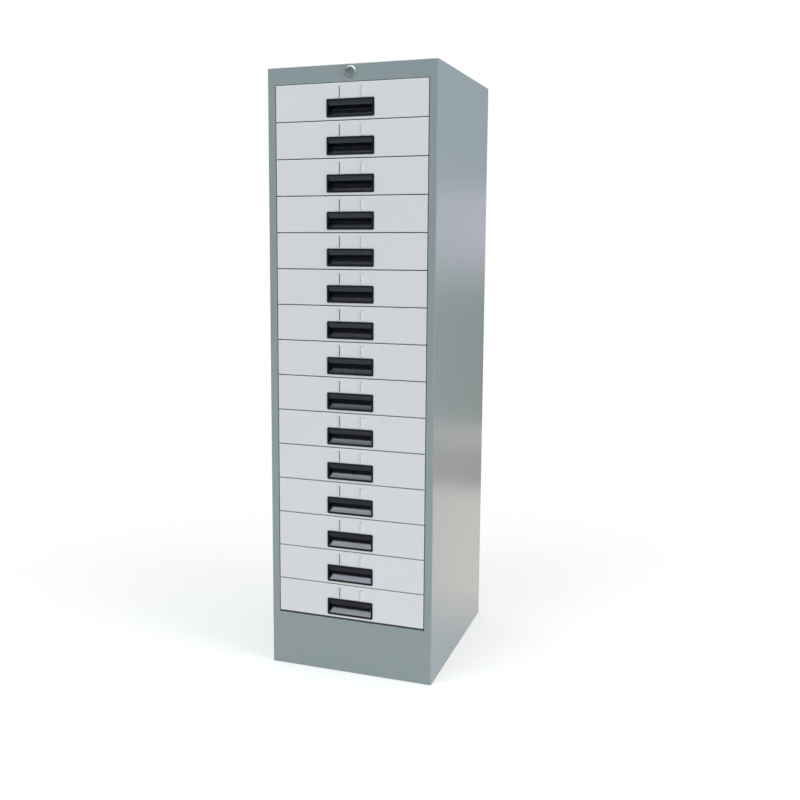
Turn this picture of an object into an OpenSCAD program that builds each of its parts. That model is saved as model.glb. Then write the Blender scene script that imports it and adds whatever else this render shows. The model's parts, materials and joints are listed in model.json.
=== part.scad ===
// Floor-standing steel cabinet with a column of flush drawers and one lock that works on all of them.
// Millimetres, +Z up, the front faces -Y, and the origin is on the floor under the middle of the cabinet.

/* [Cabinet] */
// Width over the side panels
cabinet_w = 375; // [355:1:430]
// Depth from the front face to the back panel
cabinet_d = 462; // [430:1:540]
// Height from the floor to the top
cabinet_h = 1324; // [1290:1:1420]
// Thickness of the sheet steel
sheet = 0.8; // [0.6:0.1:1]
// Inside radius of the folds
fold_r = 0.8; // [0.6:0.1:1.2]
// Height of the front rail under the top
top_rail_h = 36; // [35:1:44]
// Height of the plinth under the drawers
plinth_h = 121; // [90:0.5:140]
// Gap between the plinth and the lowest drawer front
base_gap = 4.7; // [2:0.1:6]
// Width of the front stiles
stile_w = 17; // [16:0.5:20]
// Depth of the fold behind a stile
stile_return = 22; // [20:1:26]
// Width of the lip behind a stile that the lock bar slides along
stile_lip = 9; // [7:1:12]
// Width of the other welded flanges
flange_w = 15; // [10:1:18]
// How far the ends of the top rail wrap round onto the sides
corner_wrap = 42; // [25:1:60]
// Width of the hairline seam between the top rail's ends and the sides
seam = 0.4; // [0.3:0.1:0.8]

/* [Drawers] */
// Number of drawers
drawer_count = 15; // [12:1:15]
// Gap between two drawer fronts
front_gap = 1.8; // [1:0.1:3]
// Gap between a drawer front and a stile
side_gap = 1.5; // [1:0.5:3.5]
// Depth of a folded drawer front
front_depth = 15; // [14.5:0.5:18]
// Width of the flange behind a drawer front that the tray is welded to
front_flange = 20; // [18:1:26]
// Height of the tray's floor over the bottom of its space
tray_lift = 5; // [4:0.5:8]
// Distance from the top of a tray to the top of its space
tray_head = 9; // [6:0.5:12]
// Gap behind a closed tray
tray_rear_gap = 15; // [10:1:25]
// How far a drawer slides out
drawer_travel = 330; // [250:5:340]

/* [Label holder] */
// Distance between the open edges of the two tabs
label_w = 49.4; // [40:0.2:60]
// Width of a tab
tab_w = 8; // [6:0.5:10]
// Distance from the handle's frame up to the tabs
tab_gap = 2.2; // [1:0.2:4]
// Distance from the top of the drawer front to the top of the tabs
tab_drop = 7.4; // [5:0.2:9]
// How far the open edge of a tab stands off the drawer front
tab_lift = 1.2; // [0.8:0.1:1.6]
// Width of the cut along the open edge of a tab
tab_kerf = 1.2; // [0.6:0.1:1.6]
// Width of the cuts above and below a tab
tab_shear = 0.2; // [0.1:0.1:0.6]

/* [Handle] */
// Width of the handle's frame
handle_w = 106; // [90:1:120]
// Height of the handle's frame
handle_h = 38; // [36:0.5:40]
// Distance from the bottom of the drawer front to the handle's frame
handle_drop = 5.4; // [4:0.2:6]
// Width of the handle's frame on every side
handle_rim = 4; // [3:0.1:5]
// How far the frame stands off the drawer front
handle_proud = 1.8; // [1.4:0.1:2.4]
// Corner radius of the frame
handle_corner_r = 2.8; // [2:0.1:3]
// Wall thickness of the cup behind the frame
handle_wall = 1.6; // [1.4:0.1:1.8]
// Depth of the cup behind the drawer front
cup_depth = 13; // [12:0.5:13.5]
// Height of the ramp at the bottom of the finger recess
ramp_h = 11; // [10:0.5:14]
// How far the ramp is hollowed
ramp_dip = 0.9; // [0.6:0.1:2.2]
// Height of the hood over the finger recess
hood_h = 9.8; // [9:0.2:13]
// Thickness of the hood
hood_t = 1.8; // [1.4:0.1:2.2]

/* [Runners] */
// Width of the rails on a tray
rail_w = 11; // [10:0.5:12]
// Height of the rails on a tray
rail_h = 7; // [6:0.5:8]
// How far the rails stay inside the edges of the drawer front
rail_inset = 1; // [0.5:0.5:2]
// Thickness of a runner
runner_t = 1; // [0.8:0.1:1.2]
// Clearance between a rail and its runner
runner_play = 0.4; // [0.3:0.1:0.6]
// Width of a runner post
post_w = 30; // [24:1:40]
// Thickness of a stop bracket
stop_t = 1.5; // [1.2:0.1:2]
// Paint-thin gap between a piece and what is welded onto it
weld_gap = 0.05; // [0.04:0.01:0.1]

/* [Lock] */
// Diameter of the lock's collar
collar_d = 25.5; // [22:0.5:27]
// How far the collar stands off the top rail
collar_proud = 4; // [3:0.5:5]
// Diameter of the lock barrel
barrel_d = 18; // [16:0.5:19]
// Length of the barrel behind the front of the rail
barrel_l = 21; // [18:0.5:22]
// Diameter of the plug that the key turns
plug_d = 13; // [11:0.5:13.5]
// Distance from the top of the cabinet to the middle of the lock
lock_drop = 16.2; // [15.8:0.1:17]
// Distance that the lock bar rises
bar_lift = 12; // [10:0.5:12]
// Thickness of the lock bar, of its teeth and of the cam
bar_t = 2; // [1.6:0.1:2.4]
// Height of a tooth on the lock bar
tooth_h = 9; // [8:0.5:10]
// Diameter of the pins that work in the slots
pin_d = 4; // [3:0.5:4]
// Clearance round moving pieces of the lock
lock_play = 0.3; // [0.3:0.05:0.4]
// Clearance round a pin in its slot
slot_play = 0.5; // [0.4:0.05:0.6]

/* [Hidden] */
$fn = 48;
eps = 0.02;
over = 1;
fold_out = sheet + fold_r;

// The cabinet's planes
front_y = -cabinet_d / 2;
back_y = cabinet_d / 2;
side_in = cabinet_w / 2 - sheet;
opening_half = cabinet_w / 2 - stile_w;
rail_z = cabinet_h - top_rail_h;
stile_back_y = front_y + stile_return;
deck_z = plinth_h - sheet;
deck_gap = 1;
shelf_reach = 8;
plinth_back_y = stile_back_y + shelf_reach;

// The drawers' planes, with heights taken from the bottom of a drawer's own space
stack_z = plinth_h + base_gap - front_gap / 2;
pitch = (rail_z - stack_z) / drawer_count;
front_half = opening_half - side_gap;
front_h = pitch - front_gap;
front_bottom = front_gap / 2;
front_top = pitch - front_gap / 2;
tab_h = front_h - handle_drop - handle_h - tab_gap - tab_drop;
rail_half = front_half - rail_inset;
tray_half = rail_half - rail_w;
tray_front_y = front_y + front_depth;
tray_back_y = back_y - sheet - tray_rear_gap;
tray_top = pitch - tray_head;
rail_bottom = tray_top - rail_h;
function space_z(i) = stack_z + (drawer_count - 1 - i) * pitch;

// The lock's layers from front to back: the bar and the cam, then the teeth, then the slide
bar_y = stile_back_y + lock_play;
tooth_y = bar_y + bar_t;
post_y = tooth_y + bar_t + lock_play;
slide_y = tooth_y + bar_t + lock_play;
slide_t = 1.5;
slide_back_y = slide_y + slide_t;

// The runners and their posts
wall_gap = 1.5;
runner_rear_gap = 6;
runner_web = rail_half + runner_play;
runner_out = runner_web + runner_t;
runner_mouth = tray_half + wall_gap;
runner_bottom = rail_bottom - runner_play - runner_t;
runner_h = rail_h + 3 * runner_play + 2 * runner_t;
runner_y = post_y;
runner_back_y = back_y - sheet - runner_rear_gap;
rear_post_y = runner_back_y - post_w;
rail_setback = 4;
stop_play = 0.6;
stop_clear = 3;
stop_h = bar_lift - stop_clear;
stop_x = runner_out - stop_play;
stop_top = runner_bottom - stop_play;
stop_bottom = stop_top - stop_h;
bracket_x = tray_half + weld_gap;
bracket_foot = 12;
rear_stop_y = tray_back_y - stop_clear;
stop_tab_x = bracket_x + stop_t + stop_play;
stop_tab_y = rear_stop_y - stop_t - drawer_travel - stop_play;
stop_tab_w = stop_x - stop_tab_x - stop_clear;

// The lock's heights and its crank, whose pin swings a quarter turn, half of it to each side of straight down
lock_z = cabinet_h - lock_drop;
crank_r = bar_lift / sqrt(2);
crank_z = crank_r * cos(45);
lug_gap = 2;
lug_y = tooth_y + bar_t + lug_gap;
tooth_reach = 3.5;
tooth_in = stop_x - tooth_reach;
tooth_edge = 1;
tooth_rest_top = rail_bottom - stop_play - bar_lift;
cam_pin_x = crank_r * sin(45);
arm_inset = 11;
arm_rise = 12;
arm_pin_x = opening_half - arm_inset;
arm_pin_z = rail_z + arm_rise;
arm_half_h = 5;
slide_bottom = rail_z + sheet + lock_play;
slide_lip_h = 11;
slide_web = 9;
slide_edge = 3;
fork_wall = 4;
fork_rise = 1.4;
tail_w = 6;
bore_play = 0.1;
cam_rim = 3;
cam_eye_rim = 2.5;
cam_arm_rim = 1.5;
cam_hub_d = tail_w + 2 * cam_rim;
cam_eye_d = pin_d + 2 * cam_eye_rim;
cam_arm_w = pin_d + 2 * cam_arm_rim;
nut_rim = 4;
nut_w = barrel_d + 2 * nut_rim;
nut_t = 4;
collar_dish = 2.4;
collar_dish_w = 2;
collar_shoulder_w = 2.4;
collar_shoulder = 2;
plug_set = 3;
keyway_half_w = 0.8;
keyway_half_h = 4.2;
keyway_depth = 5;
screw_head_t = 1.4;
screw_head_rim = 0.8;

// The handle's planes, taken from the face of the drawer front with +Y going in
cup_half_w = handle_w / 2 - handle_rim;
cup_half_h = handle_h / 2 - handle_rim;
cup_out_w = cup_half_w + handle_wall;
cup_out_h = cup_half_h + handle_wall;
hood_z = cup_half_h - hood_h;
recess_back = cup_depth - handle_wall;
ramp_run = [recess_back + handle_proud, ramp_h];
ramp_r = ramp_run * ramp_run / (8 * ramp_dip) + ramp_dip / 2;
ramp_side = [-ramp_run.y, ramp_run.x] / norm(ramp_run);
ramp_centre = [-handle_proud, -cup_half_h] + ramp_run / 2 + ramp_side * (ramp_r - ramp_dip);
cup_play = 0.2;
hood_set = 1.2;
hood_back = hood_t + hood_set;
hood_step = 0.4;
handle_mid = front_bottom + handle_drop + handle_h / 2;

// Colours
grey_paint = [0.53, 0.58, 0.59];
white_paint = [0.82, 0.83, 0.84];
black_plastic = [0.1, 0.11, 0.12];
zinc = [0.72, 0.73, 0.74];
nickel = [0.78, 0.77, 0.74];

function two(i) = str(i < 9 ? "0" : "", i + 1);
drawer_names = [for (i = [0 : drawer_count - 1]) str("drawer_", two(i))];
carcass_names = ["left_side_panel", "right_side_panel", "top_panel", "plinth_panel", "bottom_panel",
    "back_panel", "runner_posts", "left_runners", "right_runners"];
lock_names = ["lock_barrel", "lock_nut", "lock_plug", "lock_cam", "lock_slide", "lock_bar"];

// A box from its least corner to its greatest
module box(low, high) {
    translate(low)
        cube(high - low);
}

// A drawing in the YZ plane pulled out along X, half to each side
module across(length) {
    rotate([90, 0, 90])
        linear_extrude(length, center = true)
            children();
}

// A drawing in the XZ plane pulled out along Y from y0 to y1
module inward(y0, y1) {
    translate([0, y1, 0])
        rotate([90, 0, 0])
            linear_extrude(y1 - y0)
                children();
}

// A round bar along Y from y0 to y1
module bar_along_y(y0, y1, r) {
    inward(y0, y1)
        circle(r);
}

// The piece and its mirror image in the other half of the cabinet
module both_sides() {
    children();
    mirror([1, 0, 0])
        children();
}

// A quarter of a ring between the inside radius r and r + t
module quarter_ring(r, t) {
    intersection() {
        difference() {
            circle(r + t);
            circle(r);
        }
        square(r + t);
    }
}

// A strip of sheet seen on edge: flat legs with a right-angle fold to the left between each two
module folded_strip(legs, t, r, i = 0) {
    square([legs[i], t]);
    if (i < len(legs) - 1)
        translate([legs[i], t + r]) {
            rotate(-90)
                quarter_ring(r, t);
            rotate(90)
                translate([0, -t - r])
                    folded_strip(legs, t, r, i + 1);
        }
}

// The flat lengths of a strip from its outside lengths: an end leg loses one fold, the others lose two
function flats(outside, fold) =
    [for (i = [0 : len(outside) - 1])
        outside[i] - fold * (i == 0 || i == len(outside) - 1 ? 1 : 2)];

// A rectangle from corner to corner with the corners on its low X side rounded
module rounded_low_x(low, high, r) {
    translate([low.x + r, low.y])
        square([high.x - low.x - r, high.y - low.y]);
    translate([low.x, low.y + r])
        square([r, high.y - low.y - 2 * r]);
    for (y = [low.y + r, high.y - r])
        translate([low.x + r, y])
            circle(r);
}

// A rectangle that is half_w wide to each side, with the corners at y0 rounded
module rounded_low_y(half_w, y0, y1, r) {
    translate([-half_w, y0 + r])
        square([2 * half_w, y1 - y0 - r]);
    translate([r - half_w, y0])
        square([2 * half_w - 2 * r, r]);
    for (s = [-1, 1])
        translate([s * (half_w - r), y0 + r])
            circle(r);
}

// A rectangle round the middle with all its corners rounded
module rounded_plate(half_w, half_h, r) {
    square([2 * half_w - 2 * r, 2 * half_h], center = true);
    square([2 * half_w, 2 * half_h - 2 * r], center = true);
    for (sx = [-1, 1], sy = [-1, 1])
        translate([sx * (half_w - r), sy * (half_h - r)])
            circle(r);
}

// A slot of the given width between two points
module slot(from, to, width) {
    run = to - from;
    for (p = [from, to])
        translate(p)
            circle(d = width);
    translate(from)
        rotate(atan2(run.y, run.x))
            translate([0, -width / 2])
                square([norm(run), width]);
}

// A block whose front edges are rounded all round, which is the outside or the inside of a folded pan
module pan_block(half_w, y0, y1, z0, z1, r) {
    intersection() {
        translate([0, 0, z0])
            linear_extrude(z1 - z0)
                rounded_low_y(half_w, y0, y1, r);
        across(2 * half_w)
            rounded_low_x([y0, z0], [y1, z1], r);
    }
}

// The weld that fills the folds of a pan where the stiles meet it, so that the corners are flush in front
module corner_fill(z0) {
    both_sides()
        intersection() {
            translate([0, 0, z0])
                linear_extrude(fold_out)
                    rounded_low_y(cabinet_w / 2, front_y, front_y + corner_wrap, fold_out);
            box([opening_half, front_y - over, z0 - over],
                [cabinet_w, front_y + fold_out, z0 + fold_out + over]);
        }
}

// Right side panel: stile lip, stile return, stile, side and rear flange are one folded sheet
module side_panel() {
    difference() {
        union() {
            linear_extrude(cabinet_h - sheet)
                translate([opening_half + stile_lip, stile_back_y])
                    rotate(180)
                        folded_strip(
                            flats([stile_lip, stile_return, stile_w, cabinet_d - sheet, flange_w], fold_out),
                            sheet, fold_r);
            box([side_in - flange_w, stile_back_y + eps, 0], [side_in + eps, back_y - 3 * sheet, sheet]);
            box([side_in - flange_w, front_y + corner_wrap, cabinet_h - 2 * sheet],
                [side_in + eps, back_y - 3 * sheet, cabinet_h - sheet]);
        }
        // The corner that the top rail takes up; the joint is welded flush in front and shows on the side
        box([0, front_y - over, rail_z - weld_gap], [cabinet_w, front_y + corner_wrap, cabinet_h + over]);
        box([0, front_y + 2 * fold_out, rail_z - seam], [cabinet_w, front_y + corner_wrap, cabinet_h + over]);
        // The corner that the plinth takes up
        box([0, front_y - over, -over], [cabinet_w, plinth_back_y, plinth_h + weld_gap]);
    }
}

// Top panel: the top sheet, the front rail with its return and lip, and the ends wrapped round the corners
module top_panel() {
    difference() {
        union() {
            difference() {
                union() {
                    pan_block(cabinet_w / 2, front_y, back_y, rail_z, cabinet_h, fold_out);
                    corner_fill(rail_z);
                }
                pan_block(side_in, front_y + sheet, back_y + over, rail_z + sheet, cabinet_h - sheet, fold_r);
            }
            box([-front_half, slide_back_y + lock_play, rail_z],
                [front_half, slide_back_y + lock_play + sheet, rail_z + slide_lip_h]);
        }
        // The sides behind the wrapped ends
        both_sides()
            box([side_in - eps, front_y + corner_wrap, rail_z - over],
                [cabinet_w, back_y + over, cabinet_h - sheet]);
        // The underside behind the lip, and at the ends where the stiles stand
        box([-cabinet_w, slide_back_y + lock_play + sheet, rail_z - over],
            [cabinet_w, back_y + over, rail_z + 2 * sheet]);
        both_sides()
            box([front_half, front_y + fold_out, rail_z - over], [side_in, back_y, rail_z + 2 * sheet]);
        // The hole for the lock
        translate([0, 0, lock_z])
            bar_along_y(front_y - over, front_y + sheet + over, barrel_d / 2 + bore_play);
    }
}

// Plinth panel: a pan with its face, top return and floor return, and ends wrapped round the corners
module plinth_panel() {
    difference() {
        union() {
            pan_block(cabinet_w / 2, front_y, plinth_back_y, 0, plinth_h, fold_out);
            corner_fill(plinth_h - fold_out);
        }
        pan_block(side_in, front_y + sheet, plinth_back_y + over, sheet, plinth_h - sheet, fold_r);
        // The ends of the top return, where the runner posts stand
        both_sides()
            box([runner_out - lock_play, post_y - lock_play, plinth_h - 2 * sheet],
                [side_in, plinth_back_y + over, plinth_h + over]);
    }
}

// Bottom panel: the deck behind the plinth with its side flanges
module bottom_panel() {
    box([-side_in, stile_back_y + deck_gap, deck_z - sheet], [side_in, back_y - 2 * sheet, deck_z]);
    both_sides()
        box([side_in - sheet, stile_back_y + deck_gap, deck_z - flange_w],
            [side_in, back_y - 2 * sheet, deck_z]);
}

// Back panel: a sheet over the rear flanges of the sides
module back_panel() {
    half_w = cabinet_w / 2 - fold_out;
    box([-half_w, back_y - sheet, 0], [half_w, back_y, cabinet_h - sheet]);
}

// Runner posts: upright channels from the deck to the top rail that hold the runners off the sides
module runner_post(y0) {
    depth = side_in - runner_out;
    translate([0, 0, deck_z])
        linear_extrude(rail_z - seam - deck_z)
            translate([side_in, y0 + post_w])
                rotate(180)
                    folded_strip(flats([depth, post_w, depth], fold_out), sheet, fold_r);
}

// Right runner of one drawer: a channel open to the inside with a stop tab bent down
module runner(i) {
    leg = runner_out - runner_mouth;
    translate([0, 0, space_z(i)]) {
        inward(runner_y, runner_back_y)
            translate([runner_mouth, runner_bottom])
                folded_strip(flats([leg, runner_h, leg], runner_t + fold_r), runner_t, fold_r);
        box([stop_tab_x, stop_tab_y - runner_t, runner_bottom - stop_h],
            [stop_tab_x + stop_tab_w, stop_tab_y, runner_bottom + runner_t / 2]);
    }
}

// Bracket on the right wall of a tray, seen from above: a foot along the wall and a leg that points out
module stop_bracket(y_leg) {
    translate([0, 0, stop_bottom])
        linear_extrude(stop_h) {
            translate([bracket_x, y_leg])
                square([stop_x - bracket_x, stop_t]);
            translate([bracket_x, y_leg - bracket_foot])
                square([stop_t, bracket_foot + stop_t]);
        }
}

// Tray of one drawer: the folded box, its side rails, its stop brackets and its locking lug
module tray(i) {
    translate([0, 0, space_z(i)]) {
        difference() {
            inward(tray_front_y, tray_back_y)
                rounded_low_y(tray_half, tray_lift, tray_top, fold_out);
            inward(tray_front_y + sheet, tray_back_y - sheet)
                rounded_low_y(tray_half - sheet, tray_lift + sheet, tray_top + over, fold_r);
        }
        both_sides()
            inward(tray_front_y + rail_setback, tray_back_y)
                translate([rail_half, rail_bottom])
                    rotate(90)
                        folded_strip(flats([rail_h, rail_w - weld_gap, rail_h], fold_out), sheet, fold_r);
        both_sides()
            stop_bracket(rear_stop_y - stop_t);
        locking_lug();
    }
}

// The bracket near the front of the right wall that the raised tooth stands in front of
module locking_lug() {
    translate([0, 0, stop_bottom])
        linear_extrude(stop_h) {
            translate([bracket_x, lug_y])
                square([stop_x - bracket_x, stop_t]);
            translate([bracket_x, lug_y])
                square([stop_t, bracket_foot]);
        }
}

// One lanced tab of the label holder seen from above: hinged at its outer edge, open at its inner edge
module label_tab() {
    x0 = label_w / 2;
    polygon([[x0 + tab_w, front_y], [x0 + tab_w, front_y + sheet], [x0, front_y + sheet - tab_lift - sheet],
        [x0, front_y - tab_lift - sheet]]);
}

// Drawer front of one drawer: the folded pan with the handle cut-out and the label holder
module drawer_front(i) {
    translate([0, 0, space_z(i)]) {
        difference() {
            pan_block(front_half, front_y, tray_front_y, front_bottom, front_top, fold_out);
            pan_block(front_half - sheet, front_y + sheet, tray_front_y + over, front_bottom + sheet,
                front_top - sheet, fold_r);
            translate([0, 0, handle_mid])
                inward(front_y - over, front_y + sheet + over)
                    square([2 * cup_out_w + 2 * cup_play, 2 * cup_out_h + 2 * cup_play], center = true);
            both_sides()
                box([label_w / 2 - tab_kerf, front_y - over, front_top - tab_drop - tab_h - tab_shear],
                    [label_w / 2 + tab_w, front_y + sheet + over, front_top - tab_drop + tab_shear]);
        }
        both_sides() {
            box([front_half - front_flange, tray_front_y - sheet, front_bottom + sheet],
                [front_half - sheet / 2, tray_front_y, front_top - sheet]);
            translate([0, 0, front_top - tab_drop - tab_h])
                linear_extrude(tab_h)
                    label_tab();
        }
    }
}

// The finger recess of a handle in section: a hollow ramp from the frame's lower edge to the back of the cup,
// the mouth over it and the space behind the hood, whose lip is round
module finger_recess() {
    mouth_y = -handle_proud - over;
    difference() {
        union() {
            intersection() {
                translate(ramp_centre)
                    circle(ramp_r);
                union() {
                    translate([mouth_y, -cup_half_h])
                        square([recess_back - mouth_y, cup_half_h + hood_z]);
                    translate([hood_back, hood_z - eps])
                        square([recess_back - hood_back, hood_h + eps]);
                }
            }
            // The sloping front of the hood
            polygon([[mouth_y, hood_z - eps], [hood_back - hood_t, hood_z - eps],
                [-handle_proud + hood_step, cup_half_h], [mouth_y, cup_half_h]]);
        }
        translate([hood_back - hood_t / 2, hood_z])
            circle(d = hood_t);
    }
}

// Handle of one drawer: the frame, the cup behind it, which follows the ramp, and the finger recess
module handle(i) {
    translate([0, front_y, space_z(i) + handle_mid])
        difference() {
            union() {
                inward(-handle_proud, 0)
                    rounded_plate(handle_w / 2, handle_h / 2, handle_corner_r);
                across(2 * cup_out_w)
                    intersection() {
                        translate([-eps, -cup_out_h])
                            square([cup_depth + eps, 2 * cup_out_h]);
                        translate(ramp_centre)
                            circle(ramp_r + handle_wall);
                    }
            }
            across(2 * cup_half_w)
                finger_recess();
        }
}

// Lock barrel: the collar in front of the rail and the barrel through it, bored for the plug
module lock_barrel() {
    bore_r = plug_d / 2 + bore_play;
    collar_r = collar_d / 2;
    barrel_r = barrel_d / 2;
    translate([0, front_y, lock_z])
        rotate([-90, 0, 0])
            rotate_extrude()
                polygon([[bore_r, -collar_proud + collar_dish], [bore_r + collar_dish_w, -collar_proud],
                    [collar_r - collar_shoulder_w, -collar_proud],
                    [collar_r, -collar_proud + collar_shoulder], [collar_r, 0],
                    [barrel_r, 0], [barrel_r, barrel_l], [bore_r, barrel_l]]);
}

// Nut that holds the barrel to the back of the rail
module lock_nut() {
    translate([0, 0, lock_z])
        inward(front_y + sheet, front_y + sheet + nut_t)
            difference() {
                circle(d = nut_w / cos(30), $fn = 6);
                circle(barrel_d / 2 + bore_play);
            }
}

// Lock plug: the cylinder with the keyway, and the square tail and screw head that hold the cam
module lock_plug() {
    translate([0, 0, lock_z]) {
        difference() {
            bar_along_y(front_y - collar_proud + plug_set, bar_y, plug_d / 2);
            box([-keyway_half_w, front_y - collar_proud, -keyway_half_h],
                [keyway_half_w, front_y + keyway_depth, keyway_half_h]);
        }
        box([-tail_w / 2, bar_y - eps, -tail_w / 2], [tail_w / 2, tooth_y, tail_w / 2]);
        bar_along_y(tooth_y - eps, tooth_y + screw_head_t, tail_w / 2 + screw_head_rim);
    }
}

// Lock cam: a flat arm on the plug's tail with the pin that pushes the slide, drawn unlocked
module lock_cam() {
    translate([0, 0, lock_z]) {
        inward(bar_y, tooth_y)
            difference() {
                union() {
                    circle(d = cam_hub_d);
                    rotate(-45)
                        translate([0, -cam_arm_w / 2])
                            square([crank_r, cam_arm_w]);
                    translate([cam_pin_x, -crank_z])
                        circle(d = cam_eye_d);
                }
                square(tail_w + bore_play, center = true);
            }
        translate([cam_pin_x, 0, -crank_z])
            bar_along_y(tooth_y - eps, slide_back_y, pin_d / 2);
    }
}

// Lock slide: the flat bar on the return of the rail, with a fork for one pin and a slot for the other
module lock_slide() {
    slot_d = pin_d + 2 * slot_play;
    fork_top = lock_z - crank_z + fork_rise;
    fork_in = cam_pin_x - slot_d / 2;
    fork_out = cam_pin_x + slot_d / 2;
    edge = slot_d / 2 + slide_edge;
    plate_x = arm_pin_x - edge - fork_wall;
    inward(slide_y, slide_back_y)
        difference() {
            union() {
                translate([fork_in - fork_wall, slide_bottom])
                    square([plate_x - fork_in + 2 * fork_wall, fork_top - slide_bottom]);
                translate([plate_x, slide_bottom])
                    square([bar_lift + 2 * edge + fork_wall, arm_pin_z + bar_lift + edge - slide_bottom]);
            }
            translate([fork_in, lock_z - crank_r - slot_d / 2])
                square([slot_d, fork_top]);
            translate([fork_out + fork_wall, slide_bottom + slide_web])
                square([plate_x - fork_out - fork_wall, fork_top]);
            slot([arm_pin_x, arm_pin_z], [arm_pin_x + bar_lift, arm_pin_z + bar_lift], slot_d);
        }
}

// Lock bar: the upright behind the right stile, one tooth for each drawer, and the arm with the pin
module lock_bar() {
    bar_in = opening_half + sheet + lock_play;
    bar_out = side_in - lock_play;
    weld_y = tooth_y + weld_gap;
    box([bar_in, bar_y, space_z(drawer_count - 1) + tooth_rest_top - 1.5 * tooth_h],
        [bar_out, tooth_y, arm_pin_z + arm_half_h]);
    for (i = [0 : drawer_count - 1])
        translate([0, 0, space_z(i) + tooth_rest_top])
            box([tooth_in, weld_y, -tooth_h], [bar_out - tooth_edge, tooth_y + bar_t, 0]);
    box([arm_pin_x - arm_half_h, weld_y, arm_pin_z - arm_half_h],
        [bar_out - tooth_edge, tooth_y + bar_t, arm_pin_z + arm_half_h]);
    translate([arm_pin_x, 0, arm_pin_z])
        bar_along_y(tooth_y + bar_t - eps, slide_back_y, pin_d / 2);
}

color(grey_paint)  // left_side_panel
        mirror([1, 0, 0])
            side_panel();
color(grey_paint)  // right_side_panel
        side_panel();
color(grey_paint)
        top_panel();
color(grey_paint)
        plinth_panel();
color(grey_paint)
        bottom_panel();
color(grey_paint)
        back_panel();
color(zinc)  // runner_posts
        both_sides()
            for (y = [post_y, rear_post_y])
                runner_post(y);
color(zinc)  // left_runners
        mirror([1, 0, 0])
            for (i = [0 : drawer_count - 1])
                runner(i);
color(zinc)  // right_runners
        for (i = [0 : drawer_count - 1])
            runner(i);
color(nickel)
        lock_barrel();
color(zinc)
        lock_nut();
color(nickel)
        lock_plug();
color(zinc)
        lock_cam();
color(zinc)
        lock_slide();
color(zinc)
        lock_bar();
for (i = [0 : drawer_count - 1]) {
    color(zinc)
            tray(i);
    color(white_paint)
            drawer_front(i);
    color(black_plastic)
            handle(i);
}
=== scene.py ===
# %% [markdown]
# A tall steel cabinet with fifteen shallow drawers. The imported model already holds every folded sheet,
# runner and lock piece at its real size, so this lesson loads it as a fixed frame and dresses it: paint
# for the sheets, plating for the hardware, and new surfaces for the moulded handles and the lock collar.

# %% Load the frame
import json
import math

import bmesh
import bpy
import numpy as np
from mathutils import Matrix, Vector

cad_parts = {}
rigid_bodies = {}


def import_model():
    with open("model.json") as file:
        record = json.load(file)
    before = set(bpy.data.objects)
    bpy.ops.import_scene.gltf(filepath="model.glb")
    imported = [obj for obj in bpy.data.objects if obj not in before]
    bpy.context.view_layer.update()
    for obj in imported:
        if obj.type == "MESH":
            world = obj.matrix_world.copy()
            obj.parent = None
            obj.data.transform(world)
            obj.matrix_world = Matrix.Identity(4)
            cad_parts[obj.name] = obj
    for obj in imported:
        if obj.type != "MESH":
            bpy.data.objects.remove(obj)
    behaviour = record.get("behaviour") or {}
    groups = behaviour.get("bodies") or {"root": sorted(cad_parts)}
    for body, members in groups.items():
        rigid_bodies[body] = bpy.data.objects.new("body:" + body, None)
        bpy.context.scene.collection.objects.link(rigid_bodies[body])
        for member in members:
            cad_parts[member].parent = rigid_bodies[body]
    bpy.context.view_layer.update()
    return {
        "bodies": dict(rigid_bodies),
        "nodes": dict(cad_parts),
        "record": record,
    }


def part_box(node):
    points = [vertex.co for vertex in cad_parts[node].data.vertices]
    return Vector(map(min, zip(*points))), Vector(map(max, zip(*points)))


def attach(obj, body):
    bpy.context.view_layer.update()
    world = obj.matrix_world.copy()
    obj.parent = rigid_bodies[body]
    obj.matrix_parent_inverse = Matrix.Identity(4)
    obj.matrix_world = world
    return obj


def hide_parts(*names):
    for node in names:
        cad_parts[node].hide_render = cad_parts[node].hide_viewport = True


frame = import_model()
MM = 0.001
drawers = sorted(body for body in frame["bodies"] if body.startswith("drawer_"))

# %% [markdown]
# The photograph was taken from the right of the cabinet, a little below its top. A camera could be moved
# by eye until the picture looks right, but fitting it to the cabinet's corners and to the gaps between its
# drawers is surer. The fitted place, turn, lens and shift are written here as plain numbers.

# %% Camera
CAMERA_PLACE = (0.7388, -2.2337, 0.9721)
CAMERA_YAW = math.radians(20.44)
CAMERA_PITCH = math.radians(7.88)
SENSOR_W = 36.0
FOCAL_LENGTH = 45.05
SHIFT_X = 0.0665
SHIFT_Y = -0.0325

lens = bpy.data.cameras.new("camera")
lens.sensor_width = SENSOR_W
lens.lens = FOCAL_LENGTH
lens.shift_x = SHIFT_X
lens.shift_y = SHIFT_Y
camera = bpy.data.objects.new("camera", lens)
camera.location = CAMERA_PLACE
camera.rotation_euler = (math.pi / 2 - CAMERA_PITCH, 0.0, CAMERA_YAW)
bpy.context.scene.collection.objects.link(camera)
bpy.context.scene.camera = camera
print("camera at", CAMERA_PLACE)

# %% [markdown]
# A shader is a chain of nodes, and long chains are hard to read as node code. One small class wraps an
# output socket, so that plain sums such as 0.3 + 0.1 * grain add the Math nodes by themselves, and its
# put method adds any other node by its type, its settings and the values of its sockets.


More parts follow.
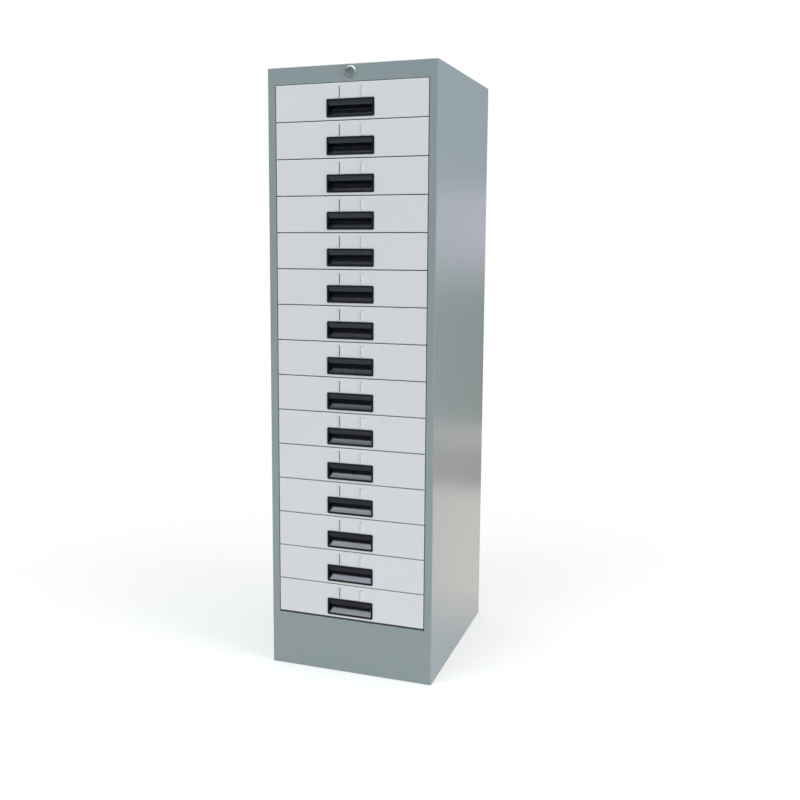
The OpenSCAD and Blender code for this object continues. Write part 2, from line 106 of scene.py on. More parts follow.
# %% Shader sums
class Wire:
    """An output socket in a node tree. Sums on it add Math nodes, and put adds any other node."""

    def __init__(self, tree, socket):
        self.tree = tree
        self.socket = socket

    def put(self, kind, sockets=(), output=0, stops=(), **settings):
        """Adds one node: its settings first, then values or links for its input sockets."""
        node = self.tree.nodes.new(kind)
        for key, value in settings.items():
            setattr(node, key, value)
        for index, (place, colour) in enumerate(stops):
            stop = node.color_ramp.elements[index] if index < 2 else node.color_ramp.elements.new(place)
            stop.position = place
            stop.color = colour
        for key, value in dict(sockets).items():
            if isinstance(value, Wire):
                self.tree.links.new(value.socket, node.inputs[key])
            else:
                node.inputs[key].default_value = value
        return Wire(self.tree, node.outputs[output])

    def math(self, operation, first, second):
        return self.put("ShaderNodeMath", {0: first, 1: second}, operation=operation)

    def __add__(self, other):
        return self.math("ADD", self, other)

    def __radd__(self, other):
        return self.math("ADD", other, self)

    def __sub__(self, other):
        return self.math("SUBTRACT", self, other)

    def __rsub__(self, other):
        return self.math("SUBTRACT", other, self)

    def __mul__(self, other):
        return self.math("MULTIPLY", self, other)

    def __rmul__(self, other):
        return self.math("MULTIPLY", other, self)

    def noise(self, scale, detail=2.0, roughness=0.5):
        """Cloudy noise from 0 to 1 on this vector, with scale features to the metre."""
        sockets = {"Vector": self, "Scale": scale, "Detail": detail, "Roughness": roughness}
        return self.put("ShaderNodeTexNoise", sockets)

    def blend(self, first, second):
        """A colour between first and second, by this wire's value."""
        sockets = {"Factor": self, 6: first, 7: second}
        return self.put("ShaderNodeMix", sockets, output=2, data_type="RGBA")

    def stretch(self, factors):
        """This vector with each of its parts multiplied by a factor."""
        return self.put("ShaderNodeVectorMath", {0: self, 1: factors}, operation="MULTIPLY")

    def bump(self, height, strength, distance):
        """A normal that the height ruffles; this wire only says which tree it goes in."""
        return self.put("ShaderNodeBump", {"Height": height, "Strength": strength, "Distance": distance})


def finish(name, dress):
    """A material whose Principled shader is dressed by a function of Object coordinates."""
    material = bpy.data.materials.new(name)
    material.use_nodes = True
    tree = material.node_tree
    shader = tree.nodes["Principled BSDF"]
    place = Wire(tree, tree.nodes.new("ShaderNodeTexCoord").outputs["Object"])
    for key, value in dress(place).items():
        if isinstance(value, Wire):
            tree.links.new(value.socket, shader.inputs[key])
        else:
            shader.inputs[key].default_value = value
    print("finish", name, "has", len(tree.nodes), "nodes")
    return material


print("shader sums ready")

# %% [markdown]
# The sheets are powder coated. Baked powder flows into a fine orange peel, about two millimetres from
# crest to crest, and its gloss changes a little from place to place. One function makes both coats, so
# that the grey carcass and the pale drawer fronts differ only in colour and gloss.

# %% Powder coat
CLOUDS_PER_METRE = 6.0
PEEL_PER_METRE = 520.0
SPECKLE_PER_METRE = 2600.0
SPECKLE_SHARE = 0.25
PEEL_DEPTH = 0.06 * MM
PEEL_STRENGTH = 0.25
CLOUD_DULLING = 0.04
PEEL_DULLING = 0.03
PAINT_IOR = 1.5
GREY = (0.248, 0.298, 0.310, 1)
GREY_DEEP = (0.240, 0.290, 0.302, 1)
GREY_ROUGHNESS = 0.19
PALE = (0.642, 0.656, 0.672, 1)
PALE_DEEP = (0.628, 0.642, 0.659, 1)
PALE_ROUGHNESS = 0.30


def powder_coat(pale, deep, roughness):
    """Two close tones in broad clouds, an uneven gloss, and a fine orange peel."""

    def dress(place):
        clouds = place.noise(CLOUDS_PER_METRE, detail=3.0)
        peel = place.noise(PEEL_PER_METRE, detail=2.0)
        speckle = place.noise(SPECKLE_PER_METRE, detail=1.0)
        height = peel + SPECKLE_SHARE * speckle
        return {
            "Base Color": clouds.blend(deep, pale),
            "Roughness": roughness + CLOUD_DULLING * clouds + PEEL_DULLING * peel,
            "Normal": place.bump(height, PEEL_STRENGTH, PEEL_DEPTH),
            "IOR": PAINT_IOR,
        }

    return dress


grey_coat = finish("grey powder coat", powder_coat(GREY, GREY_DEEP, GREY_ROUGHNESS))
pale_coat = finish("pale powder coat", powder_coat(PALE, PALE_DEEP, PALE_ROUGHNESS))

# %% [markdown]
# The runners and the flat pieces of the lock are zinc plated: a bright grey metal with a faint grain along
# the way it was rolled. The lock's collar and plug are nickel plated, darker and with a finer grain, and
# the plug, which the key rubs, has the least gloss. The plug's tone is painted light: it is set lighter
# than the collar's, for light that its recessed face does not catch. One function makes all three.

# %% Plating
SPOTS_PER_METRE = 90.0
SPOTS_SHARE = 0.4
ROLLING = (1.0, 0.04, 1.0)
ROLLED_SHARE = 0.6
ROLLED_DULLING = 0.12
GRAIN_DEPTH = 0.02 * MM
GRAIN_STRENGTH = 0.15
ZINC = (0.66, 0.67, 0.69, 1)
ZINC_DEEP = (0.50, 0.52, 0.55, 1)
ZINC_ROUGHNESS = 0.26
ZINC_GRAIN = 900.0
NICKEL = (0.35, 0.375, 0.365, 1)
NICKEL_DEEP = (0.29, 0.315, 0.305, 1)
NICKEL_ROUGHNESS = 0.28
NICKEL_GRAIN = 1500.0
# The plug's two tones are painted light: lighter than the collar's nickel, standing in for light that its
# recessed face does not get.
PLUG_PAINTED_LIGHT = (0.44, 0.48, 0.46, 1)
PLUG_DEEP_PAINTED_LIGHT = (0.33, 0.37, 0.35, 1)
PLUG_ROUGHNESS = 0.36


def plating(pale, deep, roughness, grain):
    """A metal with a rolled grain: noise stretched along the sheet sets its tone and its gloss."""

    def dress(place):
        rolled = place.stretch(ROLLING).noise(grain, detail=4.0, roughness=0.6)
        spots = place.noise(SPOTS_PER_METRE, detail=2.0)
        return {
            "Base Color": (ROLLED_SHARE * rolled + SPOTS_SHARE * spots).blend(deep, pale),
            "Metallic": 1.0,
            "Roughness": roughness + ROLLED_DULLING * rolled,
            "Normal": place.bump(rolled, GRAIN_STRENGTH, GRAIN_DEPTH),
        }

    return dress


zinc_plate = finish("zinc plate", plating(ZINC, ZINC_DEEP, ZINC_ROUGHNESS, ZINC_GRAIN))
nickel_plate = finish("nickel plate", plating(NICKEL, NICKEL_DEEP, NICKEL_ROUGHNESS, NICKEL_GRAIN))
plug_plate_painted_light = finish("plug plate with painted light", plating(PLUG_PAINTED_LIGHT, PLUG_DEEP_PAINTED_LIGHT, PLUG_ROUGHNESS, NICKEL_GRAIN))

# %% [markdown]
# The handles are moulded in black plastic. The frame and the cup came from a spark-etched mould, whose fine
# grain swallows most reflections; the hood and the ramp, which fingers touch, are polished and mirror the
# room. One function makes both skins, with the tone, the gloss and the strength of the reflections given.

# %% Black plastic
SKIN_GRAIN_PER_METRE = 1900.0
SKIN_GRAIN_STRENGTH = 0.22
SKIN_GRAIN_DULLING = 0.05
PATCHES_PER_METRE = 35.0
PATCH_DULLING = 0.09
PLASTIC_IOR = 1.47
ETCHED = (0.003, 0.005, 0.008, 1)
ETCHED_DEEP = (0.002, 0.003, 0.005, 1)
ETCHED_ROUGHNESS = 0.38
ETCHED_GRAIN_DEPTH = 0.06 * MM
ETCHED_MIRROR = 0.25
POLISHED = (0.005, 0.006, 0.009, 1)
POLISHED_DEEP = (0.004, 0.005, 0.007, 1)
POLISHED_ROUGHNESS = 0.15
POLISHED_GRAIN_DEPTH = 0.02 * MM
POLISHED_MIRROR = 0.5


def moulded_plastic(pale, deep, roughness, grain_depth, mirror):
    """Near-black plastic: patches drift in tone and gloss, and a fine grain ruffles the skin."""

    def dress(place):
        grain = place.noise(SKIN_GRAIN_PER_METRE, detail=2.0)
        patches = place.noise(PATCHES_PER_METRE, detail=2.0)
        return {
            "Base Color": patches.blend(deep, pale),
            "Roughness": roughness + PATCH_DULLING * patches + SKIN_GRAIN_DULLING * grain,
            "Normal": place.bump(grain, SKIN_GRAIN_STRENGTH, grain_depth),
            "IOR": PLASTIC_IOR,
            "Specular IOR Level": mirror,
        }

    return dress


etched_skin = moulded_plastic(
    ETCHED, ETCHED_DEEP, ETCHED_ROUGHNESS, ETCHED_GRAIN_DEPTH, ETCHED_MIRROR
)
polished_skin = moulded_plastic(
    POLISHED, POLISHED_DEEP, POLISHED_ROUGHNESS, POLISHED_GRAIN_DEPTH, POLISHED_MIRROR
)
black_plastic = finish("etched black plastic", etched_skin)
polished_plastic = finish("polished black plastic", polished_skin)

# %% [markdown]
# The folded sheets are right as the CAD has them, so they keep their own meshes and take a finish by the
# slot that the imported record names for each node.

# %% Dress the CAD nodes
FINISH_OF_SLOT = {
    "grey_paint": grey_coat,
    "tray_paint": grey_coat,
    "white_paint": pale_coat,
    "black_plastic": black_plastic,
    "zinc_steel": zinc_plate,
    "nickel": nickel_plate,
}
for entry in frame["record"]["subparts"]:
    node = frame["nodes"][entry["node"]]
    node.data.materials.clear()
    node.data.materials.append(FINISH_OF_SLOT[entry["material_slot"]])
# The plug takes its nickel with painted light, a lighter tone than the collar's.
frame["nodes"]["lock_plug"].data.materials[0] = plug_plate_painted_light
print("dressed", len(frame["nodes"]), "CAD nodes")

# %% [markdown]
# New pieces are grids of points: a closed outline carried from ring to ring. The helpers below turn such
# an array into quads, put several parts into one mesh, and turn its faces outwards. Whole arrays go in at
# once, which is faster than a loop over vertices and keeps the formulas in sight.

# %% Surface helpers
SOFT_EDGE = 40.0


def tube(rings, closed, finish_number=0):
    """Quads between neighbouring rings of an array (rings, points, 3), and end caps on an open tube."""
    count, around = rings.shape[:2]
    ring = np.arange(count if closed else count - 1)[:, None]
    point = np.arange(around)[None, :]
    after = (ring + 1) % count
    beside = (point + 1) % around
    here = ring * around
    there = after * around
    corners = [here + point, here + beside, there + beside, there + point]
    faces = np.stack(np.broadcast_arrays(*corners), axis=-1).reshape(-1, 4).tolist()
    if not closed:
        faces.append(list(range(around))[::-1])
        faces.append(list(range((count - 1) * around, count * around)))
    return rings.reshape(-1, 3), faces, finish_number


def piece(name, parts, materials):
    """One object from several parts, each with its points, its faces and the number of its finish."""
    points = np.concatenate([part_points for part_points, _, _ in parts])
    faces = []
    finish_numbers = []
    start = 0
    for part_points, part_faces, finish_number in parts:
        faces += [[start + index for index in face] for face in part_faces]
        finish_numbers += [finish_number] * len(part_faces)
        start += len(part_points)
    mesh = bpy.data.meshes.new(name)
    mesh.from_pydata(points.tolist(), [], faces)
    for material in materials:
        mesh.materials.append(material)
    mesh.polygons.foreach_set("material_index", finish_numbers)
    made = bpy.data.objects.new(name, mesh)
    bpy.context.scene.collection.objects.link(made)
    return made


def outwards(made, degrees=SOFT_EDGE):
    """Faces turned outwards, and smooth shading where neighbours meet at less than the angle."""
    work = bmesh.new()
    work.from_mesh(made.data)
    bmesh.ops.recalc_face_normals(work, faces=work.faces)
    work.to_mesh(made.data)
    work.free()
    made.data.shade_smooth()
    made.data.set_sharp_from_angle(angle=math.radians(degrees))
    return made


print("surface helpers ready")

# %% [markdown]
# The top rail's ends are wrapped round the corners of the cabinet and stop at a hairline seam on each side.
# The CAD sheet has a notch at the back of that lower edge, which the real one doesn't show. CAD meshes stay
# as they are, so a strip of the same sheet closes the notch: a rectangle swept along the edge.

# %% Rail ends
SHEET = 0.8 * MM
WRAP_END = 42.0 * MM
NOTCH_START = 29.2 * MM
NOTCH_H = 2 * SHEET
rail_low, rail_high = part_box("top_panel")


def rail_end(side):
    """The rectangle of the edge, from the front of the notch to the end of the wrap, on side -1 or 1."""
    outer = side * rail_high[0]
    inner = side * (rail_high[0] - SHEET)
    low, high = rail_low[2], rail_low[2] + NOTCH_H
    outline = [(inner, low), (outer, low), (outer, high), (inner, high)]
    ends = [rail_low[1] + NOTCH_START, rail_low[1] + WRAP_END]
    return tube(np.array([[(x, y, z) for x, z in outline] for y in ends]), closed=False)


rail_ends = outwards(piece("rail_ends", [rail_end(-1), rail_end(1)], [grey_coat]))
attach(rail_ends, "cabinet")
print("rail ends", len(rail_ends.data.polygons), "faces")

# %% [markdown]
# Each handle is a moulded cup: a thin frame with rounded corners lies on the drawer front, a hood slopes
# down over the upper third of its opening, and a hollow ramp runs back behind it for the fingertips. A
# block with cuts would leave knife edges, so each form is an outline with its own edge radii instead.

# %% Outlines with rounded corners
CORNER_STEPS = 7


def rounded_outline(corners, radii):
    """A closed outline through 2-D corners: each corner becomes an arc that touches both of its edges."""
    corners = np.asarray(corners, float)
    radii = np.asarray(radii, float)[:, None]
    to_last = np.roll(corners, 1, axis=0) - corners
    to_next = np.roll(corners, -1, axis=0) - corners
    to_last /= np.linalg.norm(to_last, axis=1, keepdims=True)
    to_next /= np.linalg.norm(to_next, axis=1, keepdims=True)
    half = np.arccos(np.clip((to_last * to_next).sum(1, keepdims=True), -1, 1)) / 2
    middle = to_last + to_next
    middle /= np.linalg.norm(middle, axis=1, keepdims=True)
    centre = corners + middle * radii / np.sin(half)
    first = corners + to_last * radii / np.tan(half) - centre
    last = corners + to_next * radii / np.tan(half) - centre
    share = np.linspace(0, 1, CORNER_STEPS)[None, :, None]
    bend = (np.pi - 2 * half)[:, None, :]
    weight_first = np.sin((1 - share) * bend) / np.sin(bend)
    weight_last = np.sin(share * bend) / np.sin(bend)
    arcs = centre[:, None] + weight_first * first[:, None] + weight_last * last[:, None]
    return arcs.reshape(-1, 2)


print("outlines ready, with", CORNER_STEPS, "points to a corner")

# %% [markdown]
# The CAD handle gives the outside sizes, so that the moulded one fills the same cut-out in the drawer
# front. The sizes inside it were read from the photograph: how far the hood hangs down, and how high the
# ramp ends.

# %% Handle sizes
box_low, box_high = (np.array(corner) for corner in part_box(drawers[0] + "_handle"))
HANDLE_HALF_W = (box_high[0] - box_low[0]) / 2
HANDLE_HALF_H = (box_high[2] - box_low[2]) / 2
HANDLE_PROUD = 1.8 * MM
CUP_DEPTH = box_high[1] - box_low[1] - HANDLE_PROUD
RIM = 4.0 * MM
WALL = 1.6 * MM
HOOD_H = 9.8 * MM
RAMP_H = 11.0 * MM
RAMP_DIP = 0.1 * MM
print("handle", np.round((box_high - box_low) / MM, 1), "mm")

# %% [markdown]
# The frame is one closed profile carried round a rounded rectangle. Point by point it is a mix of the
# frame's outer and inner outlines, so its width stays even round the corners.

# %% Handle frame
FRAME_CORNER = 2.8 * MM
OPENING_CORNER = 1.4 * MM
FRAME_BACK = 1.0 * MM
FRAME_STEP = 0.6 * RIM
OUTER_EDGE = 0.9 * MM
INNER_EDGE = 0.7 * MM
CRISP_EDGE = 0.05 * MM
FRAME_PROFILE = [
    (0.0, 0.0, CRISP_EDGE),
    (0.0, -HANDLE_PROUD, OUTER_EDGE),
    (RIM, -HANDLE_PROUD, INNER_EDGE),
    (RIM, FRAME_BACK, CRISP_EDGE),
    (FRAME_STEP, FRAME_BACK, CRISP_EDGE),
    (FRAME_STEP, 0.0, CRISP_EDGE),
]


def rounded_profile(rows):
    """The rounded outline of a table with two places and an edge radius in each row."""
    table = np.array(rows)
    return rounded_outline(table[:, :2], table[:, 2])


def rectangle(half_w, half_h, radius):
    """The rounded outline of a rectangle round the middle, in X and Z."""
    corners = [(-half_w, -half_h), (half_w, -half_h), (half_w, half_h), (-half_w, half_h)]
    return rounded_outline(corners, [radius] * 4)


def handle_frame():
    """Rings of the frame: share 0 is the outer outline and 1 the inner one, and depth is along +Y."""
    outer = rectangle(HANDLE_HALF_W, HANDLE_HALF_H, FRAME_CORNER)
    inner = rectangle(HANDLE_HALF_W - RIM, HANDLE_HALF_H - RIM, OPENING_CORNER)
    profile = rounded_profile(FRAME_PROFILE)
    share = (profile[:, 0] / RIM)[None, :, None]
    across = (1 - share) * outer[:, None] + share * inner[:, None]
    depth = np.broadcast_to(profile[None, :, 1:], across.shape[:2] + (1,))
    return np.concatenate([across[..., :1], depth, across[..., 1:]], axis=-1)


frame_rings = handle_frame()
print("handle frame", frame_rings.shape)

# %% [markdown]
# The hood and the cup have the same section all along the handle, so each is a closed outline in depth
# and height, set at the two ends. The ramp is a thin plate that lies in the cup, so that it can take the
# polished skin while the cup keeps the etched one. Each piece laps a little way into the next, because
# edges that only meet would let light through.

# %% Hood, ramp and cup
CUP_HALF_W = HANDLE_HALF_W - RIM
CUP_HALF_H = HANDLE_HALF_H - RIM
RECESS_BACK = CUP_DEPTH - WALL
LAP = 0.4 * MM
HOOD_Z = CUP_HALF_H - HOOD_H
HOOD_TOP = CUP_HALF_H + LAP
HOOD_FRONT = -1.5 * MM
HOOD_LIP = 1.3 * MM
HOOD_BACK = 3.1 * MM
HOOD_END_LAP = 0.5 * MM
HOOD_SECTION = [
    (HOOD_FRONT, HOOD_TOP, 0.1 * MM),
    (HOOD_LIP, HOOD_Z, 0.7 * MM),
    (HOOD_BACK, HOOD_Z, 0.8 * MM),
    (HOOD_BACK, HOOD_TOP, 0.1 * MM),
]
RAMP_FOOT = np.array([-0.6 * MM, 0.5 * MM - CUP_HALF_H])
RAMP_HEAD = np.array([8.6 * MM, RAMP_H - CUP_HALF_H])
RAMP_STEPS = 18
RAMP_THICK = 0.9 * MM
RAMP_SEAT = np.array([0.0, 0.5 * MM])
RAMP_END_LAP = 0.6 * MM
CUP_TOP_FRONT = 3.0 * MM
CUP_LOW_FRONT = 0.2 * MM
CUP_OUTSIDE = CUP_HALF_H + WALL
CUP_END_LAP = 0.8 * MM
END_WALL_FRONT = -1.2 * MM


def carried(section, half_length):
    """The rings of a section (depth, height) at the two ends of a run along X."""
    ends = np.array([-half_length, half_length])[:, None, None]
    x = np.broadcast_to(ends, (2, len(section), 1))
    return np.concatenate([x, np.broadcast_to(section, (2,) + section.shape)], axis=-1)


def ramp_section():
    """The ramp's face, hollowed by a shallow arc between its foot and its head, and its underside."""
    share = np.linspace(0, 1, RAMP_STEPS)[:, None]
    run = RAMP_HEAD - RAMP_FOOT
    square_on = np.array([run[1], -run[0]]) / np.linalg.norm(run)
    dip = RAMP_DIP * 4 * share * (1 - share)
    face = RAMP_FOOT + share * run + dip * square_on
    return np.concatenate([face, face[::-1] + RAMP_THICK * square_on])


def cup_section():
    """Inside of the cup down to its floor under the ramp, then the outside back to the start."""
    return np.array([
        (CUP_TOP_FRONT, CUP_HALF_H),
        (RECESS_BACK, CUP_HALF_H),
        RAMP_HEAD - RAMP_SEAT,
        (CUP_LOW_FRONT, -CUP_HALF_H - LAP),
        (CUP_LOW_FRONT, -CUP_OUTSIDE),
        (CUP_DEPTH, -CUP_OUTSIDE),
        (CUP_DEPTH, CUP_OUTSIDE),
        (CUP_TOP_FRONT, CUP_OUTSIDE),
    ])


def end_wall(side):
    """A thin plate that closes one end of the cup, on side -1 or 1."""
    plate = np.array([
        (END_WALL_FRONT, -CUP_OUTSIDE),
        (CUP_DEPTH, -CUP_OUTSIDE),
        (CUP_DEPTH, CUP_OUTSIDE),
        (END_WALL_FRONT, CUP_OUTSIDE),
    ])
    rings = carried(plate, WALL / 2)
    rings[..., 0] += side * (CUP_HALF_W + WALL / 2)
    return rings


hood_rings = carried(rounded_profile(HOOD_SECTION), CUP_HALF_W + HOOD_END_LAP)
ramp_rings = carried(ramp_section(), CUP_HALF_W + RAMP_END_LAP)
cup_rings = carried(cup_section(), CUP_HALF_W + CUP_END_LAP)
print("hood", hood_rings.shape, "ramp", ramp_rings.shape, "cup", cup_rings.shape)

# %% [markdown]
# All the drawers have the same handle. One set of arrays is moved to the middle of each CAD handle, which
# it then stands for, and it rides with its drawer.

# %% Place the handles
SKINS = [black_plastic, polished_plastic]
POLISHED_NUMBER = 1
HANDLE_SOFT_EDGE = 35.0

for drawer in drawers:
    node = drawer + "_handle"
    low, high = (np.array(corner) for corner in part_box(node))
    middle = np.array([(low[0] + high[0]) / 2, low[1] + HANDLE_PROUD, (low[2] + high[2]) / 2])
    parts = [tube(frame_rings + middle, closed=True), tube(cup_rings + middle, closed=False)]
    parts += [tube(end_wall(side) + middle, closed=False) for side in (-1, 1)]
    parts += [tube(rings + middle, False, POLISHED_NUMBER) for rings in (hood_rings, ramp_rings)]
    handle = outwards(piece(drawer + "_moulded_handle", parts, SKINS), HANDLE_SOFT_EDGE)
    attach(handle, drawer)
    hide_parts(node)
print("handles", len(drawers), "of", len(handle.data.polygons), "faces")

# %% [markdown]
# The lock's collar is a turned ring: a flat face with a wide bevel stands on the rail, the plug sits in its
# chamfered bore, and the barrel goes on through the rail behind it. A stack of cylinders would leave sharp
# edges that catch no light, so it is one closed profile with rounded edges, spun about the lock's axis.

# %% Lock collar
SPIN_STEPS = 96
barrel_low, barrel_high = (np.array(corner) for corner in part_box("lock_barrel"))
plug_low, plug_high = (np.array(corner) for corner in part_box("lock_plug"))
COLLAR_PROUD = 4.0 * MM
lock_axis = np.array([0.0, barrel_low[1] + COLLAR_PROUD, (barrel_low[2] + barrel_high[2]) / 2])
COLLAR_R = (barrel_high[0] - barrel_low[0]) / 2
BORE_PLAY = 0.1 * MM
BORE_R = (plug_high[0] - plug_low[0]) / 2 + BORE_PLAY
BORE_CHAMFER_W = 0.8 * MM
BORE_CHAMFER_H = 1.0 * MM
BEVEL_W = 3.0 * MM
BEVEL_H = 3.2 * MM
BARREL_R = 9.0 * MM
BARREL_BACK = barrel_high[1] - lock_axis[1]
COLLAR_PROFILE = [
    (BORE_R, BORE_CHAMFER_H - COLLAR_PROUD, 0.3 * MM),
    (BORE_R + BORE_CHAMFER_W, -COLLAR_PROUD, 0.4 * MM),
    (COLLAR_R - BEVEL_W, -COLLAR_PROUD, 1.6 * MM),
    (COLLAR_R, BEVEL_H - COLLAR_PROUD, 0.5 * MM),
    (COLLAR_R, 0.0, 0.2 * MM),
    (BARREL_R, 0.0, 0.1 * MM),
    (BARREL_R, BARREL_BACK, 0.4 * MM),
    (BORE_R, BARREL_BACK, 0.2 * MM),
]


def spun(profile, axis_point):
    """A profile of (radius, depth) spun about the Y line through a point."""
    angle = np.linspace(0, 2 * np.pi, SPIN_STEPS, endpoint=False)[:, None]
    radius, depth = profile[None, :, 0], profile[None, :, 1]
    x = radius * np.cos(angle)
    z = radius * np.sin(angle)
    return np.stack([x, np.broadcast_to(depth, x.shape), z], axis=-1) + axis_point


collar_rings = spun(rounded_profile(COLLAR_PROFILE), lock_axis)
collar = outwards(piece("lock_turned_collar", [tube(collar_rings, closed=True)], [nickel_plate]))
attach(collar, "cabinet")
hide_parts("lock_barrel")
print("collar", len(collar.data.polygons), "faces")

# %% [markdown]
# The studio is all white. The world gives an even fill, and rays from the camera or off a shiny surface
# see it as plain white. Stronger lamps could make the background white as well, but they would bleach the
# pale drawer fronts with it.

# %% World
FILL = 0.64

bpy.context.scene.view_settings.view_transform = "Standard"
world = bpy.data.worlds.new("studio")
bpy.context.scene.world = world
world.use_nodes = True
tree = world.node_tree
path = tree.nodes.new("ShaderNodeLightPath")
seen = Wire(tree, path.outputs["Is Camera Ray"])
seen = seen.math("MAXIMUM", seen, Wire(tree, path.outputs["Is Glossy Ray"]))
seen = seen.math("MAXIMUM", seen, Wire(tree, path.outputs["Is Transmission Ray"]))
strength = FILL + (1.0 - FILL) * seen
background = tree.nodes["Background"]
background.inputs["Color"].default_value = (1, 1, 1, 1)
tree.links.new(strength.socket, background.inputs["Strength"])
print("world fill", FILL)

# %% [markdown]
# The floor is a sheet of white paper that carries the cabinet's shadow. A sheet with an edge would draw a
# horizon across the picture, so its Alpha fades out with the distance from the cabinet, and the white
# world takes over.

# %% Floor
FLOOR_HALF = 2.0
FADE_START = 0.5
FADE_END = 1.5
FLOOR_Z = -0.5 * MM
MOTTLE_PER_METRE = 3.0
PAPER = (0.90, 0.897, 0.888, 1)
PAPER_DEEP = (0.88, 0.877, 0.868, 1)
PAPER_GLOW = (1.0, 0.993, 0.98, 1)
PAPER_GLOW_STRENGTH = 0.28


def stage_sheet(name, rows, material):
    """A sheet that only dresses the set: quads between rows of points, an array (rows, points, 3)."""
    count, across = rows.shape[:2]
    row = np.arange(count - 1)[:, None]
    point = np.arange(across - 1)[None, :]
    first = row * across + point
    faces = np.stack([first, first + 1, first + across + 1, first + across], axis=-1).reshape(-1, 4)
    mesh = bpy.data.meshes.new(name)
    mesh.from_pydata(rows.reshape(-1, 3).tolist(), [], faces.tolist())
    mesh.materials.append(material)
    made = bpy.data.objects.new(name, mesh)
    bpy.context.scene.collection.objects.link(made)
    return made


def white_paper(place):
    """White with a faint mottle; Alpha falls from 1 to 0 between two distances from the middle."""
    mottle = place.noise(MOTTLE_PER_METRE, detail=2.0)
    away = place.put("ShaderNodeVectorMath", {0: place}, output=1, operation="LENGTH")
    reach = {"Value": away, "From Min": FADE_START, "From Max": FADE_END, "To Min": 1.0, "To Max": 0.0}
    return {
        "Base Color": mottle.blend(PAPER_DEEP, PAPER),
        "Roughness": 0.9,
        "Specular IOR Level": 0.0,
        "Alpha": place.put("ShaderNodeMapRange", reach, interpolation_type="SMOOTHERSTEP"),
        "Emission Color": PAPER_GLOW,
        "Emission Strength": PAPER_GLOW_STRENGTH,
    }


floor_ends = np.array([-FLOOR_HALF, FLOOR_HALF])
floor_x, floor_y = np.meshgrid(floor_ends, floor_ends)
floor_rows = np.stack([floor_x, floor_y, np.full_like(floor_x, FLOOR_Z)], axis=-1)
stage_sheet("floor", floor_rows, finish("white paper", white_paper))
print("floor", 2 * FLOOR_HALF, "m across")

# %% [markdown]
# Seen at a low angle, glossy paint mirrors the room: in the photograph a bright floor below the side, and a
# dim wall above it with the light band of a window. Of three bright panels under the ceiling, one lights
# the ramps of the low handles, which lean back far enough to catch it, and the other two draw the crescent
# on the lock's collar. A tube of cards round the set, which only reflected rays can see, gives the finishes
# that room without changing the light on the cabinet.

# %% Room for reflections
ROOM_X = (-3.5, 3.5)
FRONT_Y = -4.2
REAR_Y = 2.65
LOW_Z = -0.3 * MM
HIGH_Z = 3.0
FRONT_WALL = (0.23, 0.26, 0.30)
FRONT_WALL_FOOT = (0.71, 0.74, 0.78)
OPEN_FLOOR = (0.96, 1.10, 1.24)
NEAR_FLOOR = (0.58, 0.58, 0.62)
WARM_FLOOR = (1.16, 0.99, 0.88)
DARK_FLOOR = (0.42, 0.22, 0.24)
REAR_FLOOR = (0.75, 0.61, 0.53)
REAR_WALL_FOOT = (0.15, 0.17, 0.12)
REAR_WALL = (0.38, 0.45, 0.50)
WINDOW = (0.83, 0.75, 0.90)
CEILING = (0.10, 0.10, 0.11)
ROOM = [
    (FRONT_Y, HIGH_Z, FRONT_WALL),
    (FRONT_Y, 0.50, FRONT_WALL),
    (FRONT_Y, 0.25, FRONT_WALL_FOOT),
    (FRONT_Y, LOW_Z, FRONT_WALL_FOOT),
    (-2.20, LOW_Z, OPEN_FLOOR),
    (-1.20, LOW_Z, OPEN_FLOOR),
    (-0.50, LOW_Z, NEAR_FLOOR),
    (0.00, LOW_Z, NEAR_FLOOR),
    (0.40, LOW_Z, WARM_FLOOR),
    (1.42, LOW_Z, WARM_FLOOR),
    (1.55, LOW_Z, DARK_FLOOR),
    (2.15, LOW_Z, DARK_FLOOR),
    (2.25, LOW_Z, REAR_FLOOR),
    (REAR_Y, LOW_Z, REAR_FLOOR),
    (REAR_Y, 0.05, REAR_WALL_FOOT),
    (REAR_Y, 0.64, REAR_WALL_FOOT),
    (REAR_Y, 0.93, WINDOW),
    (REAR_Y, 1.15, WINDOW),
    (REAR_Y, 1.25, REAR_WALL),
    (REAR_Y, HIGH_Z, REAR_WALL),
    (1.00, HIGH_Z, CEILING),
    (FRONT_Y, HIGH_Z, FRONT_WALL),
]
PANEL_X = (-1.9, -0.45)
PANEL_Z = HIGH_Z - 0.01
PANEL_GLOW = (9.2, 9.7, 10.9)
PANEL_EDGE = (0.7, 0.7, 0.9)
PANEL = [
    (-0.60, PANEL_Z, CEILING),
    (-1.00, PANEL_Z, PANEL_EDGE),
    (-1.30, PANEL_Z, PANEL_GLOW),
    (-2.00, PANEL_Z, PANEL_GLOW),
    (-2.40, PANEL_Z, PANEL_EDGE),
]
SIDE_PANEL_X = (-0.45, 3.4)
SIDE_PANEL_GLOW = (3.8, 4.0, 4.0)
SIDE_PANEL = [(-0.10, PANEL_Z, SIDE_PANEL_GLOW), (-1.20, PANEL_Z, SIDE_PANEL_GLOW)]
REAR_PANEL_X = (-2.6, 1.2)
REAR_PANEL_GLOW = (3.2, 3.4, 3.5)
REAR_PANEL = [(2.20, PANEL_Z, REAR_PANEL_GLOW), (0.10, PANEL_Z, REAR_PANEL_GLOW)]


def room_tones(place):
    """The glow that each point of the room carries in its tone attribute."""
    return {
        "Base Color": (0, 0, 0, 1),
        "Specular IOR Level": 0.0,
        "Emission Color": place.put("ShaderNodeAttribute", attribute_name="tone"),
        "Emission Strength": 1.0,
    }


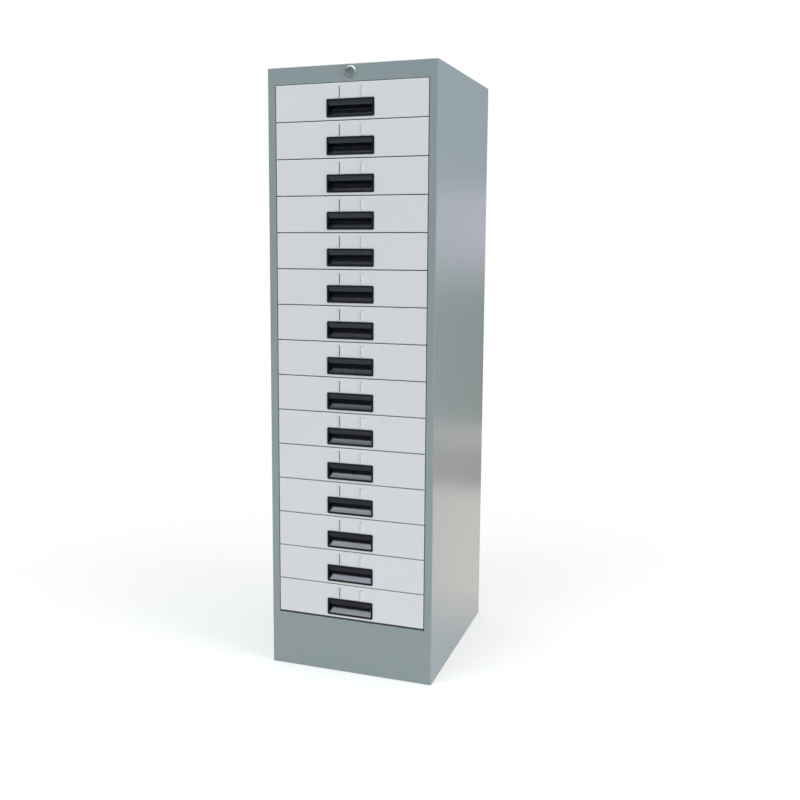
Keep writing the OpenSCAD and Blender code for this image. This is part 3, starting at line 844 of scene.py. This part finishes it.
def reflected_card(name, ends, way):
    """A card between two ends in X along a way of (depth, height, tone); only reflected rays see it."""
    x = np.broadcast_to(np.array(ends)[None, :, None], (len(way), 2, 1))
    yz = np.broadcast_to(np.array([[y, z] for y, z, _ in way])[:, None, :], (len(way), 2, 2))
    card = stage_sheet(name, np.concatenate([x, yz], axis=-1), room_glow)
    tones = card.data.color_attributes.new("tone", "FLOAT_COLOR", "POINT")
    tones.data.foreach_set("color", np.repeat([[*tone, 1.0] for _, _, tone in way], 2, axis=0).ravel())
    card.visible_camera = False
    card.visible_diffuse = False
    card.visible_transmission = False
    card.visible_shadow = False


room_glow = finish("room tones", room_tones)
reflected_card("room cards", ROOM_X, ROOM)
reflected_card("ceiling panel", PANEL_X, PANEL)
reflected_card("side ceiling panel", SIDE_PANEL_X, SIDE_PANEL)
reflected_card("rear ceiling panel", REAR_PANEL_X, REAR_PANEL)
print("room cards", len(ROOM) - 1, "and three ceiling panels")

# %% [markdown]
# Three soft boxes shape the cabinet a little: one overhead, one in front and one at the side. Their level
# is low, so that each finish renders about as it is written. Mirrored in the paint they would show as hard
# bright squares, so reflected rays see the room's cards instead of them.

# %% Soft boxes
WHITE = (1.0, 1.0, 1.0)
COOL_WHITE = (0.72, 0.89, 1.0)
WARM_WHITE = (1.0, 0.93, 0.80)


def soft_box(name, place, target, width, height, watts, tint):
    """An area lamp at a place that faces a target, and that reflected rays don't see."""
    lamp = bpy.data.lights.new(name, "AREA")
    lamp.color = tint
    lamp.shape = "RECTANGLE"
    lamp.size = width
    lamp.size_y = height
    lamp.energy = watts
    holder = bpy.data.objects.new(name, lamp)
    holder.location = place
    toward = np.array(target) - np.array(place)
    flat = math.hypot(toward[0], toward[1])
    holder.rotation_euler = (math.atan2(flat, -toward[2]), 0.0, math.atan2(-toward[0], toward[1]))
    holder.visible_glossy = False
    bpy.context.scene.collection.objects.link(holder)


soft_box(
    "overhead box",
    place=(-0.9, -1.7, 3.0),
    target=(0.0, 0.0, 0.4),
    width=1.6,
    height=0.9,
    watts=20,
    tint=COOL_WHITE,
)
soft_box(
    "front box",
    place=(-1.8, -3.2, 1.1),
    target=(0.0, 0.0, 0.7),
    width=2.5,
    height=2.5,
    watts=16,
    tint=WARM_WHITE,
)
soft_box(
    "side box",
    place=(3.2, -0.8, 1.2),
    target=(0.0, 0.0, 0.6),
    width=2.0,
    height=2.0,
    watts=56,
    tint=WHITE,
)
print("lamps", len(bpy.data.lights))
